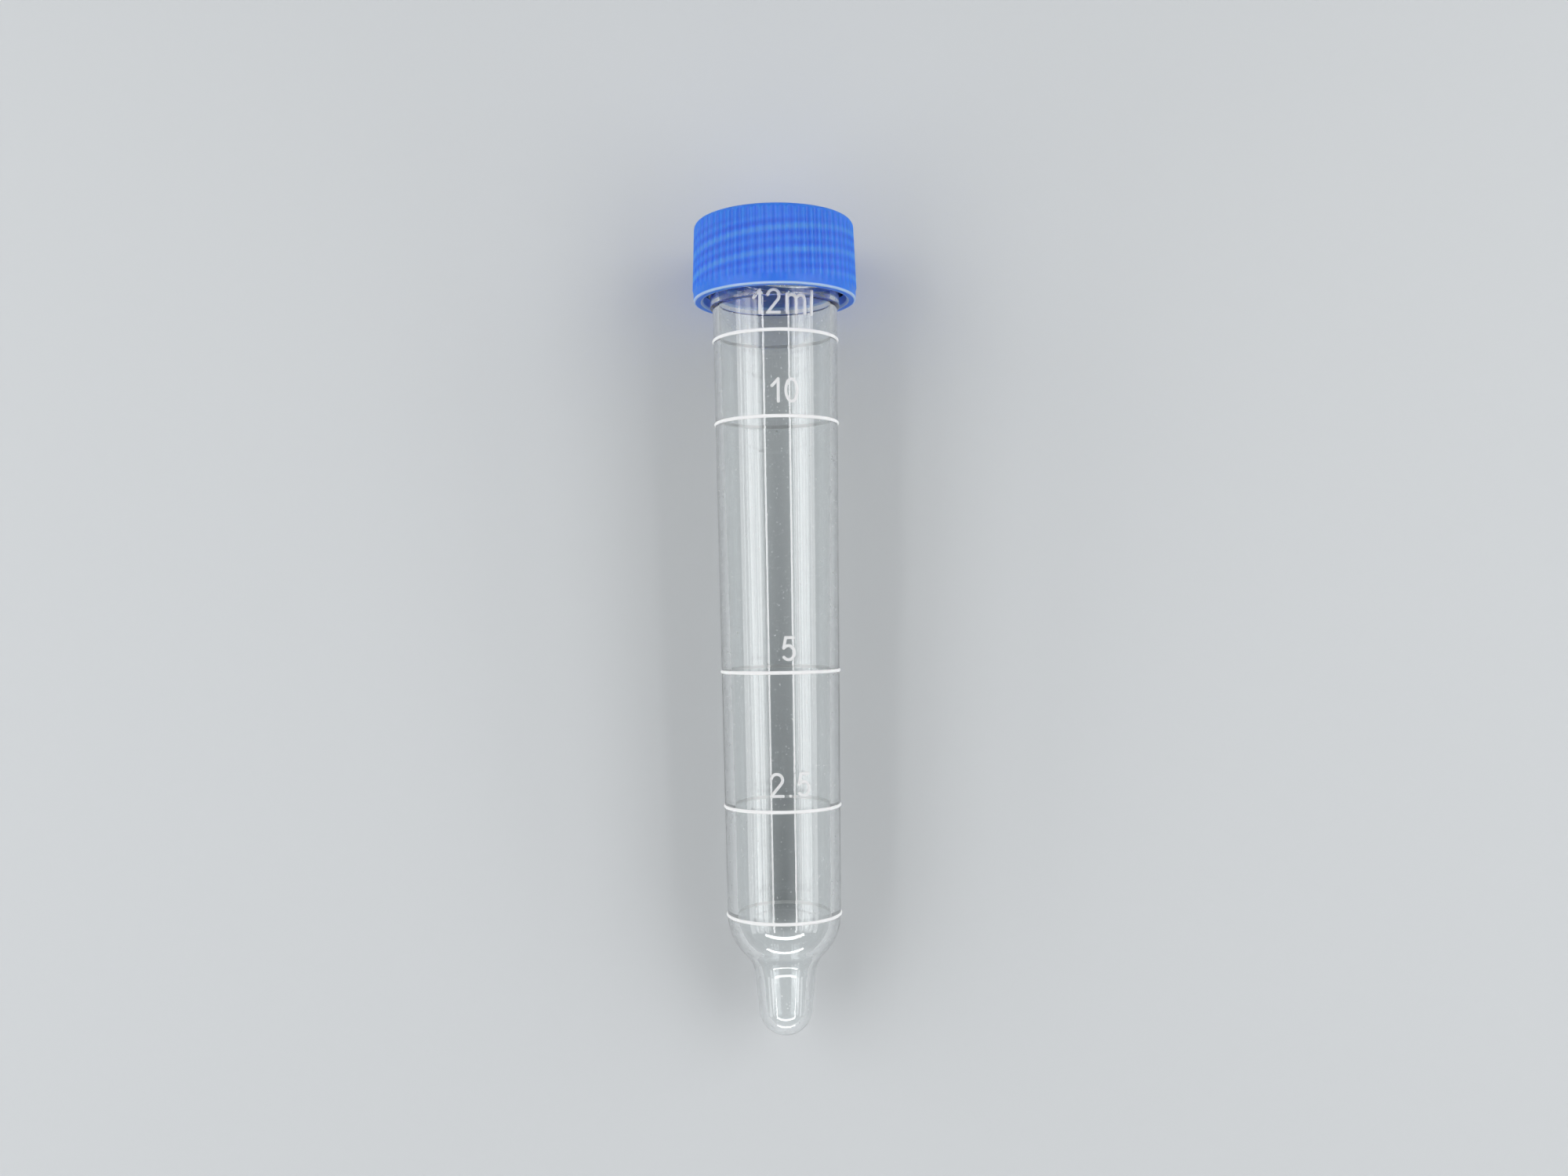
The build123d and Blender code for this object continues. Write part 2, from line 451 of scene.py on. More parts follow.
def neck_radius(sizes):
    """The neck's outer radius."""
    return body_radius(sizes, sizes.collar_height) + sizes.collar_step


def rib_radius(cap, height):
    """The radius over the cap's ribs at a height."""
    return cap.rim_radius - (height - cap.rim_height) * tan(cap.draft)


def tip_and_bowl(sizes, end_radius, ball_radius, blend):
    """One side of tip and bowl, from the pole up to the bowl's edge, rounded where they meet."""
    steps = sizes.arc_steps
    out = Vector((cos(sizes.tip_draft), -sin(sizes.tip_draft)))
    up = Vector((sin(sizes.tip_draft), cos(sizes.tip_draft)))
    end_center = Vector((0, sizes.tip_end_radius))
    ball_center = Vector((0, sizes.bowl_height))
    blend_out = end_center.dot(out) + end_radius + blend
    reach = (ball_radius + blend) ** 2 - (blend_out - ball_center.dot(out)) ** 2
    blend_center = out * blend_out + up * (ball_center.dot(up) - sqrt(reach))
    to_blend = blend_center - ball_center
    onto_ball = atan2(to_blend.y, to_blend.x)
    end = arc(end_center, end_radius, -pi / 2, -sizes.tip_draft, steps)
    side_to_ball = arc(blend_center, blend, pi - sizes.tip_draft, pi + onto_ball, steps // 2)
    ball = arc(ball_center, ball_radius, onto_ball, 0, 2 * steps)
    return end + side_to_ball + ball[1:]


def ring_section(sizes, height):
    """The rounded crest of one ring and its flat back, closed."""
    points = []
    for i in range(sizes.arc_steps + 1):
        offset = (i / sizes.arc_steps - 0.5) * sizes.ring_width
        relief = sizes.ring_relief * cos(pi * offset / sizes.ring_width)
        wall = body_radius(sizes, height + offset)
        points.append(Vector((wall + sizes.ring_gap + relief, height + offset)))
    return points + [points[0]]


def rows(sizes, first, last, radius_at):
    """Points a row apart up a wall, between two heights, without the ends."""
    spaces = round(abs(last - first) / sizes.row)
    heights = [first + (last - first) * i / spaces for i in range(1, spaces)]
    return [Vector((radius_at(height), height)) for height in heights]


def tube_section(sizes):
    """The tube's section, from the pole of its tip up the outside, over the lip and down."""
    neck = neck_radius(sizes)
    collar = sizes.collar_height
    top = collar + sizes.neck_length
    lip = sizes.lip_radius
    outside = tip_and_bowl(sizes, sizes.tip_end_radius, sizes.bowl_radius, sizes.bowl_blend)
    for _, height in FIGURES:
        low = height - FIGURE_ROOM / 2
        high = min(height + FIGURE_ROOM / 2, collar)
        outside += rows(sizes, low, high, lambda level: body_radius(sizes, level))
    outside.sort(key=lambda point: point.y)
    outside.append(Vector((body_radius(sizes, collar), collar)))
    # The collar's rounded edge begins where it comes clear of the body
    outside += arc((neck - lip, collar + lip), lip, -pi / 3, 0, HIDDEN_STEPS)
    outside += rows(sizes, collar + lip, top - lip, lambda level: neck)
    mouth = arc((neck - lip, top - lip), lip, 0, pi / 2, SHOWN_STEPS)
    mouth += arc((bore_radius(sizes, top) + lip, top - lip), lip, pi / 2, pi, SHOWN_STEPS)
    inside = tip_and_bowl(
        sizes,
        sizes.tip_end_radius - sizes.tip_wall,
        sizes.bowl_radius - sizes.bowl_wall,
        sizes.bowl_bore_blend,
    )
    return outside + mouth + inside[::-1]


def cap_section(cap, tube):
    """The cap's section, from its ceiling's middle round plug, skirt and rim to its top's."""
    ceiling = cap.ceiling_height
    plug_end = ceiling - cap.plug_length
    plug_root = bore_radius(tube, ceiling) - cap.plug_clearance
    plug_outside = bore_radius(tube, plug_end) - cap.plug_clearance
    plug_inside = plug_outside - cap.plug_wall
    rounding = cap.plug_rounding
    high, low = ceiling - rounding, plug_end + rounding
    points = [Vector((0, ceiling))]
    points += arc((plug_inside - rounding, high), rounding, pi / 2, 0, HIDDEN_STEPS)
    points += arc((plug_inside + rounding, low), rounding, pi, 3 * pi / 2, HIDDEN_STEPS)
    points += arc((plug_outside - rounding, low), rounding, -pi / 2, 0, SHOWN_STEPS)
    points += [Vector((plug_root, high))]
    points += arc((plug_root + rounding, high), rounding, pi, pi / 2, HIDDEN_STEPS)[1:]

    skirt = cap.skirt_bore_radius
    skirt_foot = cap.rim_height + cap.lead_in
    points += arc((skirt - rounding, high), rounding, pi / 2, 0, HIDDEN_STEPS)
    points += rows(tube, high, skirt_foot, lambda level: skirt)
    points += [Vector((skirt, skirt_foot))]

    band_top = cap.rim_height + cap.band_height
    band_radius = rib_radius(cap, band_top) - cap.band_step
    inner_edge = skirt + cap.lead_in
    rim_center = (band_radius - cap.rim_rounding, cap.rim_height + cap.rim_rounding)
    # Points a little way from the rim's edges, where the painted light on them fades out
    for radius in (inner_edge, inner_edge + cap.painted_light_reach, rim_center[0] - cap.painted_light_reach):
        points += [Vector((radius, cap.rim_height))]
    points += arc(rim_center, cap.rim_rounding, -pi / 2, 0, SHOWN_STEPS)
    points += [Vector((band_radius, rim_center[1] + cap.painted_light_reach))]
    points += [Vector((band_radius, band_top))]
    ribs_foot = band_top + cap.band_slope
    points += [Vector((rib_radius(cap, ribs_foot), ribs_foot))]

    edge_height = cap.top_height - cap.edge_radius
    edge_center = (rib_radius(cap, edge_height) - cap.edge_radius / cos(cap.draft), edge_height)
    points += arc(edge_center, cap.edge_radius, cap.draft, pi / 2, tube.arc_steps)
    points += [Vector((0, cap.top_height))]
    return points


# Screw threads


def cap_ridge_height(thread):
    """Height of the middle of a cap ridge where it crosses the upper side."""
    return thread.cap_foot_height + thread.cap_first_turn / (2 * pi) * thread.lead


def ridge(name, radii, widths, foot_height, foot_turn, turns):
    """One ridge of a screw thread as a closed solid, given its root and crest.

    Its section is drawn, screwed about Z and capped, and then turned to where its foot is.
    """
    scene = bpy.context.scene
    thread = scene.thread_sizes
    steps = round(scene.tube_sizes.steps * turns)
    root, crest = radii
    half_root, half_crest = widths[0] / 2, widths[1] / 2
    outline = [(root, -half_root), (crest, -half_crest), (crest, half_crest), (root, half_root)]
    piece = draw_section(name, [(radius, foot_height + up) for radius, up in outline])
    bpy.ops.mesh.select_all(action="SELECT")
    bpy.ops.mesh.edge_face_add()
    select_where(piece, lambda place: abs(place.x - crest) < SAME_POINT)
    bpy.ops.mesh.bevel(affect="VERTICES", offset=thread.crest_rounding, segments=HIDDEN_STEPS)
    bpy.ops.object.mode_set(mode="OBJECT")
    apply_modifier(
        piece,
        "SCREW",
        angle=turns * 2 * pi,
        screw_offset=turns * thread.lead,
        steps=steps,
        render_steps=steps,
        use_merge_vertices=False,
        use_smooth_shade=False,
    )
    bpy.ops.object.mode_set(mode="EDIT")
    bpy.ops.mesh.select_all(action="SELECT")
    bpy.ops.mesh.fill_holes(sides=0)
    tidy_mesh()
    bpy.ops.object.mode_set(mode="OBJECT")
    piece.data.transform(Matrix.Rotation(foot_turn, 4, "Z"))
    return piece


def join_thread(piece, name, radii, widths, foot_height, first_turn, turns):
    """Join all the ridges of a screw thread to a piece, evenly spaced round it."""
    starts = bpy.context.scene.thread_sizes.starts
    for start in range(starts):
        foot_turn = 2 * pi * start / starts - first_turn
        join_solid(piece, ridge(name, radii, widths, foot_height, foot_turn, turns))


# Finishes, whose patterns have sizes in millimetres


def add_node(tree, kind, links=(), values=None, **settings):
    """Add a shader node with its settings, its inputs' values, and links to its inputs.

    A value is given by its input's name or number, and a link as the other node, its output and
    the input that it goes to.
    """
    node = tree.nodes.new("ShaderNode" + kind)
    for key, value in settings.items():
        setattr(node, key, value)
    for entry, value in (values or {}).items():
        node.inputs[entry].default_value = value
    for source, output, entry in links:
        tree.links.new(source.outputs[output], node.inputs[entry])
    return node


def new_material(name):
    """A material with an empty node tree."""
    material = bpy.data.materials.new(name)
    material.use_nodes = True
    material.node_tree.nodes.clear()
    return material, material.node_tree


def clear_polystyrene(finishes):
    """Crystal polystyrene from a polished mould: water clear, with a hard gloss.

    Drag lines along it are left by the core that it was pulled off, and hair-thin scuffs by
    handling. Both are finer on the real plastic, and are drawn as coarse as they need to show.
    """
    line_width, line_length, line_depth = 1.2, 45, 0.004
    scuff_width = 0.35
    polished, scuffed = 0.02, 0.4
    # The scuffs are where their pattern passes this level
    scuffs_begin, scuffs_full = 0.72, 0.76
    material, tree = new_material("clear_moulded_polystyrene")
    place = add_node(tree, "Attribute", attribute_name="upright_mm")
    stretch = (1 / line_width, 1 / line_width, 1 / line_length)
    along = add_node(tree, "VectorMath", [(place, "Vector", 0)], {1: stretch}, operation="MULTIPLY")
    lines = add_node(tree, "TexNoise", [(along, "Vector", "Vector")], {"Scale": 1, "Detail": 2})
    bump = add_node(
        tree, "Bump", [(lines, "Fac", "Height")], {"Strength": 1, "Distance": line_depth * MM}
    )
    specks = add_node(
        tree, "TexNoise", [(place, "Vector", "Vector")], {"Scale": 1 / scuff_width, "Detail": 1}
    )
    rough = add_node(
        tree,
        "MapRange",
        [(specks, "Fac", "Value")],
        {
            "From Min": scuffs_begin,
            "From Max": scuffs_full,
            "To Min": polished,
            "To Max": scuffed,
        },
    )
    shader = add_node(
        tree,
        "BsdfPrincipled",
        [(rough, "Result", "Roughness"), (bump, "Normal", "Normal")],
        {"Base Color": (*finishes.clear, 1), "Transmission Weight": 1, "IOR": 1.59},
    )
    add_node(tree, "OutputMaterial", [(shader, 0, "Surface")])
    return material


def frosted_polystyrene(name, finishes, clearness):
    """The same polystyrene where the mould is spark-textured: white and matt, with a grain.

    The grain is finer on the real plastic, and is drawn as coarse as it needs to show.
    """
    grain_width, grain_depth = 0.12, 0.03
    material, tree = new_material(name)
    place = add_node(tree, "Attribute", attribute_name="upright_mm")
    grain = add_node(
        tree, "TexNoise", [(place, "Vector", "Vector")], {"Scale": 1 / grain_width, "Detail": 2}
    )
    bump = add_node(
        tree, "Bump", [(grain, "Fac", "Height")], {"Strength": 0.6, "Distance": grain_depth * MM}
    )
    # The grain scatters light more than it reflects it, as if the index were low
    shader = add_node(
        tree,
        "BsdfPrincipled",
        [(bump, "Normal", "Normal")],
        {
            "Base Color": (*finishes.frosted, 1),
            "Roughness": 0.8,
            "Transmission Weight": clearness,
            "IOR": 1.2,
        },
    )
    add_node(tree, "OutputMaterial", [(shader, 0, "Surface")])
    return material


def blue_polyethylene(finishes, cap, thread):
    """Pigmented polyethylene from a fine-matt mould: a waxy satin that lets light soak in.

    The light and shade that the screw thread behind the thin wall would give are painted into
    the colour, as soft bands that climb round the cap: painted shade along a ridge's two flanks,
    and painted light on its crest. The mould's matt is finer on the real plastic, and is drawn
    as coarse as it needs to show.
    """
    crest_share = 0.6
    patch_width = 5
    bands_begin, bands_full = 1.2, 2.6  # above the rim
    fade_height = 1.5  # below the ceiling
    matt_width, matt_depth = 0.25, 0.01
    material, tree = new_material("translucent_moulded_polyethylene")
    place = add_node(tree, "Attribute", attribute_name="upright_mm")
    split = add_node(tree, "SeparateXYZ", [(place, "Vector", "Vector")])

    # A wave of painted light, highest on each ridge's crest, a whole wave from one ridge to the
    # next
    pitch = thread.lead / MM / thread.starts
    turn = add_node(tree, "Math", [(split, "Y", 0), (split, "X", 1)], operation="ARCTAN2")
    ridges = add_node(tree, "Math", [(turn, 0, 0)], {1: -thread.starts}, operation="MULTIPLY")
    climb = add_node(
        tree,
        "Math",
        [(split, "Z", 0), (ridges, 0, 2)],
        {1: 2 * pi / pitch},
        operation="MULTIPLY_ADD",
    )
    crest_phase = 2 * pi * cap_ridge_height(thread) / MM / pitch
    phase = add_node(tree, "Math", [(climb, 0, 0)], {1: crest_phase}, operation="SUBTRACT")
    crests = add_node(tree, "Math", [(phase, 0, 0)], operation="COSINE")

    # A second wave, twice as fast, puts a band of painted shade on each side of the painted light
    doubled = add_node(tree, "Math", [(phase, 0, 0)], {1: 2}, operation="MULTIPLY")
    flanks = add_node(tree, "Math", [(doubled, 0, 0)], operation="COSINE")
    mixed = add_node(
        tree, "Math", [(crests, 0, 0), (flanks, 0, 2)], {1: crest_share}, operation="MULTIPLY_ADD"
    )

    # The bands are uneven round the cap, and end below its top and above its rim
    patches = add_node(
        tree, "TexNoise", [(place, "Vector", "Vector")], {"Scale": 1 / patch_width, "Detail": 1}
    )
    uneven = add_node(tree, "Math", [(mixed, 0, 0), (patches, "Fac", 1)], operation="MULTIPLY")
    rim, ceiling = cap.rim_height / MM, cap.ceiling_height / MM
    above = add_node(
        tree,
        "MapRange",
        [(split, "Z", "Value")],
        {"From Min": rim + bands_begin, "From Max": rim + bands_full},
        interpolation_type="SMOOTHSTEP",
    )
    below = add_node(
        tree,
        "MapRange",
        [(split, "Z", "Value")],
        {"From Min": ceiling, "From Max": ceiling - fade_height},
        interpolation_type="SMOOTHSTEP",
    )
    within = add_node(tree, "Math", [(above, 0, 0), (below, 0, 1)], operation="MULTIPLY")
    bands = add_node(tree, "Math", [(uneven, 0, 0), (within, 0, 1)], operation="MULTIPLY")

    # From the darkest painted shade, through the plain colour, to the brightest painted light
    level = add_node(tree, "MapRange", [(bands, 0, "Value")], {"From Min": -1, "From Max": 1})
    tint = add_node(tree, "ValToRGB", [(level, 0, "Fac")])
    tint.color_ramp.elements[0].color = (*finishes.cap_band_painted_shade, 1)
    tint.color_ramp.elements[1].color = (*finishes.cap_band_painted_light, 1)
    tint.color_ramp.elements.new(0.5).color = (*finishes.cap, 1)

    # Of the mix's sockets, inputs 6 and 7 and output 2 are those for colours
    # Painted light: a paler colour on the rim's thin edges and on the lit inside
    painted_light = add_node(tree, "Attribute", attribute_name="painted_light")
    colours = add_node(
        tree,
        "Mix",
        [(painted_light, "Fac", 0), (tint, "Color", 6)],
        {7: (*finishes.cap_pale_painted_light, 1)},
        data_type="RGBA",
    )
    skin = add_node(
        tree, "TexNoise", [(place, "Vector", "Vector")], {"Scale": 1 / matt_width, "Detail": 2}
    )
    bump = add_node(
        tree, "Bump", [(skin, "Fac", "Height")], {"Strength": 0.25, "Distance": matt_depth * MM}
    )
    shader = add_node(
        tree,
        "BsdfPrincipled",
        [(bump, "Normal", "Normal"), (colours, 2, "Base Color")],
        {
            "Roughness": 0.45,
            "IOR": 1.51,
            "Transmission Weight": 0.22,
            "Subsurface Weight": 0.85,
            "Subsurface Radius": (0.25, 0.6, 1),
            "Subsurface Scale": 2 * MM,
        },
    )
    add_node(tree, "OutputMaterial", [(shader, 0, "Surface")])
    return material


def matt_paint(finishes, stage):
    """Matt paint on the bench: one even pale tone.

    Far off, where the lamps no longer reach, the tone is seen as it is written, by the camera
    and also in gloss and through clear plastic.
    """
    material, tree = new_material("matt_bench_paint")
    tone = (*finishes.floor, 1)
    paint = add_node(tree, "BsdfPrincipled", values={"Base Color": tone, "Roughness": 0.7})
    even = add_node(tree, "Emission", values={"Color": tone, "Strength": 1})
    place = add_node(tree, "TexCoord")
    reach = add_node(tree, "VectorMath", [(place, "Object", 0)], operation="LENGTH")
    # It sets in from half the lamps' distance to a little beyond them
    far = add_node(
        tree,
        "MapRange",
        [(reach, "Value", "Value")],
        {"From Min": stage.lamp_distance / 2, "From Max": stage.lamp_distance * 1.3},
        interpolation_type="SMOOTHSTEP",
    )
    path = add_node(tree, "LightPath")
    mirrored = add_node(
        tree,
        "Math",
        [(path, "Is Glossy Ray", 0), (path, "Is Transmission Ray", 1)],
        operation="MAXIMUM",
    )
    seen = add_node(
        tree, "Math", [(path, "Is Camera Ray", 0), (mirrored, 0, 1)], operation="MAXIMUM"
    )
    share = add_node(tree, "Math", [(far, 0, 0), (seen, 0, 1)], operation="MULTIPLY")
    mix = add_node(tree, "MixShader", [(share, 0, 0), (paint, 0, 1), (even, 0, 2)])
    add_node(tree, "OutputMaterial", [(mix, 0, "Surface")])
    return material


# Figures: each stroke is a chain of points in a space one figure high, and each figure has a
# width of its own


def bow(center, radii, first, last, steps):
    """Points along part of an ellipse, between two angles in degrees."""
    turns = [radians(first + (last - first) * i / steps) for i in range(steps + 1)]
    return [(center[0] + radii[0] * cos(t), center[1] + radii[1] * sin(t)) for t in turns]


GLYPHS = {
    "0": (0.53, [bow((0.265, 0.5), (0.265, 0.5), 90, 450, 24)]),
    "1": (0.28, [[(0, 0.7), (0.28, 1)], [(0.28, 1), (0.28, 0)]]),
    "2": (
        0.54,
        [
            bow((0.27, 0.73), (0.26, 0.27), 165, -35, 11) + [(0.01, 0)],
            [(0.01, 0), (0.54, 0)],
        ],
    ),
    "5": (
        0.54,
        [
            [(0.14, 1), (0.5, 1)],
            [(0.14, 1), (0.05, 0.53)],
            [(0.05, 0.53)] + bow((0.26, 0.32), (0.27, 0.32), 118, -140, 14),
        ],
    ),
    "m": (
        0.86,
        [
            [(0, 0), (0, 0.8)],
            bow((0.215, 0.57), (0.215, 0.23), 145, 0, 9) + [(0.43, 0)],
            bow((0.645, 0.57), (0.215, 0.23), 145, 0, 9) + [(0.86, 0)],
        ],
    ),
    "l": (0, [[(0, 0), (0, 1)]]),
    ".": (0, [[(0, 0)]]),
}

# A stroke's round section, and the balls at its ends, which are a little larger than the stroke
# is thick, so that the two surfaces cross cleanly
STROKE_ROUNDNESS = 3
BALL_SEGMENTS = 14
BALL_RINGS = 9
BALL_SWELL = 1.03


def bead(points, radius):
    """A round bead along a chain of points in the XY plane, as a closed solid."""
    piece = draw_chain("stroke", [(*point, 0) for point in points])
    bpy.ops.object.mode_set(mode="OBJECT")
    bpy.ops.object.convert(target="CURVE")
    piece.data.bevel_depth = radius
    piece.data.bevel_resolution = STROKE_ROUNDNESS
    piece.data.use_fill_caps = True
    bpy.ops.object.convert(target="MESH")
    return piece


def ball(place, radius):
    """A small ball, which rounds a stroke's end."""
    deselect_all()
    bpy.ops.mesh.primitive_uv_sphere_add(
        segments=BALL_SEGMENTS, ring_count=BALL_RINGS, radius=radius, location=(0, 0, 0)
    )
    bpy.ops.object.mode_set(mode="EDIT")
    bpy.ops.transform.translate(value=(*place, 0))
    bpy.ops.object.mode_set(mode="OBJECT")
    return bpy.context.object


def bend_round_body(piece, height, sizes, figures):
    """Bend a flat figure round the body, and raise its middle to a height."""
    for vertex in piece.data.vertices:
        across, up, out = vertex.co
        surface = body_radius(sizes, height + up)
        if height + up > sizes.collar_height:
            surface += sizes.collar_step
        radius = surface + out + figures.relief - figures.stroke_radius
        turn = figures.turn + across / surface
        vertex.co = (radius * cos(turn), radius * sin(turn), height + up)


def figure(text, height, sizes, figures):
    """A raised figure as a closed solid, bent round the body."""
    unit = figures.height - 2 * figures.stroke_radius
    widths = [GLYPHS[letter][0] * unit for letter in text]
    left = -(sum(widths) + figures.gap * (len(text) - 1)) / 2
    parts = []
    for letter, width in zip(text, widths):
        ends = set()
        for stroke in GLYPHS[letter][1]:
            points = [(left + x * unit, (y - 0.5) * unit) for x, y in stroke]
            ends.update((points[0], points[-1]))
            if len(points) > 1:
                parts.append(bead(points, figures.stroke_radius))
        parts += [ball(end, BALL_SWELL * figures.stroke_radius) for end in sorted(ends)]
        left += width + figures.gap
    last = parts.pop()
    make_active(parts[0], parts)
    bpy.ops.object.join()
    piece = bpy.context.object
    piece.name = f"figure_{height / MM:.0f}"
    join_solid(piece, last, use_self=True)
    bend_round_body(piece, height, sizes, figures)
    return piece


# Pieces

# Edges that turn more sharply than this stay sharp
TUBE_SMOOTHING = radians(25)
CAP_SMOOTHING = radians(40)


class TUBE_OT_mould_tube(bpy.types.Operator):
    """Model the clear tube with its rings, figures and screw thread"""

    bl_idname = "tube.mould_tube"
    bl_label = "Mould tube"

    def execute(self, context):
        scene = context.scene
        sizes, thread, finishes = scene.tube_sizes, scene.thread_sizes, scene.finishes
        tube = spun_piece("clear_tube", tube_section(sizes), sizes.steps)
        tube.data.materials.append(clear_polystyrene(finishes))
        tube.data.materials.append(
            frosted_polystyrene("figure_textured_polystyrene", finishes, finishes.figure_clearness )
        )
        join_thread(
            tube,
            "neck_ridge",
            (neck_radius(sizes) - thread.sink, thread.neck_crest_radius),
            (thread.neck_root_width, thread.neck_crest_width),
            thread.neck_foot_height,
            thread.neck_first_turn,
            thread.neck_turn,
        )
        for text, height in FIGURES:
            raised = figure(text, height, sizes, scene.figure_sizes)
            for finish in tube.data.materials:
                raised.data.materials.append(finish)
            for face in raised.data.polygons:
                face.material_index = 1
            join_solid(tube, raised)
        tube = clean_mesh(tube)

        ring_finish = frosted_polystyrene(
            "ring_textured_polystyrene", finishes, finishes.ring_clearness
        )
        rings = []
        for height in RING_HEIGHTS:
            section = ring_section(sizes, height)
            ring = spun_piece(f"ring_{height / MM:.0f}", section, sizes.steps)
            ring.data.materials.append(ring_finish)
            rings.append(ring)
        make_active(tube, rings)
        bpy.ops.object.join()
        bpy.ops.object.shade_smooth_by_angle(angle=TUBE_SMOOTHING)
        lay_in_place(tube)
        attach(tube, "tube")
        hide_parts("tube")
        return {"FINISHED"}


def mark_painted_light(piece, cap):
    """Mark painted light, which makes the cap paler at the rim's thin edges and in the lit inside.
    """
    marks = piece.data.attributes.new("painted_light", "FLOAT", "POINT")
    near = MM / 100
    inner_edge = cap.skirt_bore_radius + cap.lead_in
    band_radius = rib_radius(cap, cap.rim_height + cap.band_height) - cap.band_step
    outer_edge = band_radius - cap.rim_rounding
    rim_top = cap.rim_height + cap.rim_rounding + near
    for vertex, mark in zip(piece.data.vertices, marks.data):
        radius = Vector(vertex.co[:2]).length
        on_edge = abs(radius - inner_edge) < near or radius > outer_edge - near
        in_skirt = radius < cap.skirt_bore_radius + near
        if vertex.co.z < rim_top and on_edge:
            mark.value = cap.edge_painted_light
        elif in_skirt and vertex.co.z < cap.ceiling_height + near:
            mark.value = cap.inside_painted_light


def press_grooves(piece, cap):
    """Press one sector's groove in from the ribs' crests.

    It has a half at each side of the sector, and runs out over the cap's rounded top edge.
    """
    middle = pi / cap.rib_count
    band_top = cap.rim_height + cap.band_height
    side_width = cap.groove_width / 2 - cap.groove_floor / 2
    for vertex in piece.data.vertices:
        radius = Vector(vertex.co[:2]).length
        if vertex.co.z < band_top + SAME_POINT or radius < cap.skirt_bore_radius:
            continue
        turn = atan2(vertex.co.y, vertex.co.x)
        from_middle = abs(abs(turn) - middle) * radius
        slope = (cap.groove_width / 2 - from_middle) / side_width
        depth = cap.groove_depth * min(max(slope, 0), 1)
        pressed = min(radius, rib_radius(cap, vertex.co.z) - depth)
        vertex.co = (pressed * cos(turn), pressed * sin(turn), vertex.co.z)


class TUBE_OT_mould_cap(bpy.types.Operator):
    """Model the ribbed cap with its plug and screw thread"""

    bl_idname = "tube.mould_cap"
    bl_label = "Mould cap"

    def execute(self, context):
        scene = context.scene
        cap, thread = scene.cap_sizes, scene.thread_sizes
        sector = 2 * pi / cap.rib_count
        piece = draw_section("blue_cap", cap_section(cap, scene.tube_sizes))
        spin_all(cap.rib_steps, sector)
        bpy.ops.object.mode_set(mode="OBJECT")
        press_grooves(piece, cap)
        bpy.ops.object.mode_set(mode="EDIT")
        spin_all(cap.rib_count - 1, 2 * pi - sector, copies=True)
        tidy_mesh()
        bpy.ops.object.mode_set(mode="OBJECT")
        piece.data.transform(Matrix.Rotation(-sector / 2, 4, "Z"))
        join_thread(
            piece,
            "cap_ridge",
            (cap.skirt_bore_radius + thread.sink, thread.cap_crest_radius),
            (thread.cap_root_width, thread.cap_crest_width),
            thread.cap_foot_height,
            thread.cap_first_turn,
            thread.cap_turn,
        )
        piece = clean_mesh(piece)
        mark_painted_light(piece, cap)
        make_active(piece)
        bpy.ops.object.shade_smooth_by_angle(angle=CAP_SMOOTHING)
        piece.data.materials.append(blue_polyethylene(scene.finishes, cap, thread))
        lay_in_place(piece)
        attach(piece, "cap")
        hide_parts("cap")
        return {"FINISHED"}


# Stage

# The lamps beside the tube: each one's lean from upright in degrees, its width, and how bright
# its face is
SIDE_LAMPS = (
    ("left_high_box", 37, 70 * MM, 2.7),
    ("left_box", 52, 140 * MM, 2.3),
    ("left_low_box", 70, 90 * MM, 2.7),
    ("right_high_box", -36, 60 * MM, 2.7),
    ("right_box", -50, 150 * MM, 2.3),
    ("right_low_box", -68, 80 * MM, 2.7),
    ("left_strip", 22, 32 * MM, 9),
    ("right_strip", -24, 32 * MM, 9),
)

# The lamps past the tip: the same, with a length and a width each
FOOT_LAMPS = (
    ("foot_strip", 46, (700 * MM, 60 * MM), 12),
    ("low_foot_strip", 78, (500 * MM, 45 * MM), 12),
)

SENSOR_WIDTH = 36  # millimetres, as Blender counts a camera's sensor
NEAREST_SEEN = 10 * MM

# The room's light from the sides reaches this high, where 0 is level and 1 is straight up
SIDE_LIGHT_TOP = 0.5


def lamp(name, direction, along, size, brightness, stage):
    """A rectangular soft lamp that faces the tube's middle, given how bright its face is."""
    data = bpy.data.lights.new(name, "AREA")
    data.shape = "RECTANGLE"
    data.size, data.size_y = size
    # An even face of brightness 1 sends out pi watts from each square metre
    data.energy = brightness * pi * size[0] * size[1]
    piece = bpy.data.objects.new(name, data)
    bpy.context.scene.collection.objects.link(piece)
    out = Vector(direction).normalized()
    across = out.cross(along).normalized()
    middle = Vector((0, 0, bpy.context.scene.tube_sizes.bowl_radius))
    place = middle + out * stage.lamp_distance
    piece.matrix_world = placed(place, across.cross(out), across, out)
    if "strip" in name:
        # A strip is there for the gloss alone, so that it casts no hard shadow
        piece.visible_diffuse = False
        piece.visible_transmission = False


def light_room(finishes, stage):
    """Light from the room: brighter from the sides than from above."""
    world = bpy.data.worlds.new("room")
    world.use_nodes = True
    tree = world.node_tree
    sky = add_node(tree, "TexCoord")
    split = add_node(tree, "SeparateXYZ", [(sky, "Generated", "Vector")])
    level = add_node(
        tree,
        "MapRange",
        [(split, "Z", "Value")],
        {"From Min": SIDE_LIGHT_TOP, "To Min": stage.side_light, "To Max": stage.top_light},
        interpolation_type="SMOOTHSTEP",
    )
    background = tree.nodes["Background"]
    background.inputs["Color"].default_value = (*finishes.surroundings, 1)
    tree.links.new(level.outputs[0], background.inputs["Strength"])
    bpy.context.scene.world = world


